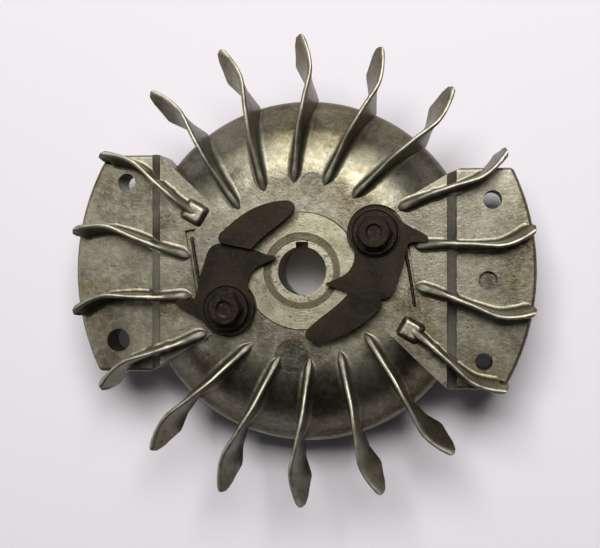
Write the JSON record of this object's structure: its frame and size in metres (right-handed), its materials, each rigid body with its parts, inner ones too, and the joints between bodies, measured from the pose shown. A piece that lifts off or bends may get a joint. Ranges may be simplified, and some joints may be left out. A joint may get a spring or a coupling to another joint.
{
  "type": "flywheel",
  "caption": "Finned die-cast flywheel for a small two-stroke engine, with two flat wings, a keyed steel hub and a pair of spring-loaded starter pawls.",
  "frame": {"origin": "on the crankshaft axis at the back of the hub", "axes": "+Z along the crank towards the starter side, +X towards the magnet wing, keyway at +Y"},
  "size_m": [0.1192, 0.12, 0.0355],
  "materials": {
    "cast_aluminium": "die-cast, tumbled, dull and oily",
    "hub_steel": "turned steel",
    "lamination_steel": "stamped laminations, ground on the arc",
    "rivet_steel": "flush riveted",
    "magnet_alloy": "cast and ground",
    "weight_iron": "sheared bar",
    "pawl_steel": "blanked, hardened, dark oil finish",
    "washer_steel": "blued strip",
    "sleeve_steel": "ground",
    "bolt_steel": "rusty black oxide",
    "spring_wire": "drawn wire"
  },
  "bodies": {
    "wheel": {"flywheel_casting": "cast_aluminium", "hub_insert": "hub_steel", "pole_shoe_leading": "lamination_steel", "pole_shoe_trailing": "lamination_steel", "pole_rivets_leading": "rivet_steel", "pole_rivets_trailing": "rivet_steel", "magnet": "magnet_alloy", "counterweight": "weight_iron", "thrust_washer_a": "washer_steel", "thrust_washer_b": "washer_steel", "cover_washer_a": "washer_steel", "cover_washer_b": "washer_steel", "pivot_sleeve_a": "sleeve_steel", "pivot_sleeve_b": "sleeve_steel", "pivot_bolt_a": "bolt_steel", "pivot_bolt_b": "bolt_steel", "pawl_spring_a": "spring_wire", "pawl_spring_b": "spring_wire"},
    "pawl_a": {"pawl_a": "pawl_steel"},
    "pawl_b": {"pawl_b": "pawl_steel"}
  },
  "joints": [
    {"name": "pawl_a_pivot", "type": "hinge", "parent": "wheel", "child": "pawl_a", "pos_m": [0.0189, 0.0096, 0.029], "axis": [0, 0, 1], "range_deg": [0, 24], "stiffness_Nm_per_rad": 0.02, "springref_deg": -20.05},
    {"name": "pawl_b_pivot", "type": "hinge", "parent": "wheel", "child": "pawl_b", "pos_m": [-0.0189, -0.0096, 0.029], "axis": [0, 0, 1], "range_deg": [0, 24], "stiffness_Nm_per_rad": 0.02, "springref_deg": -20.05}
  ]
}
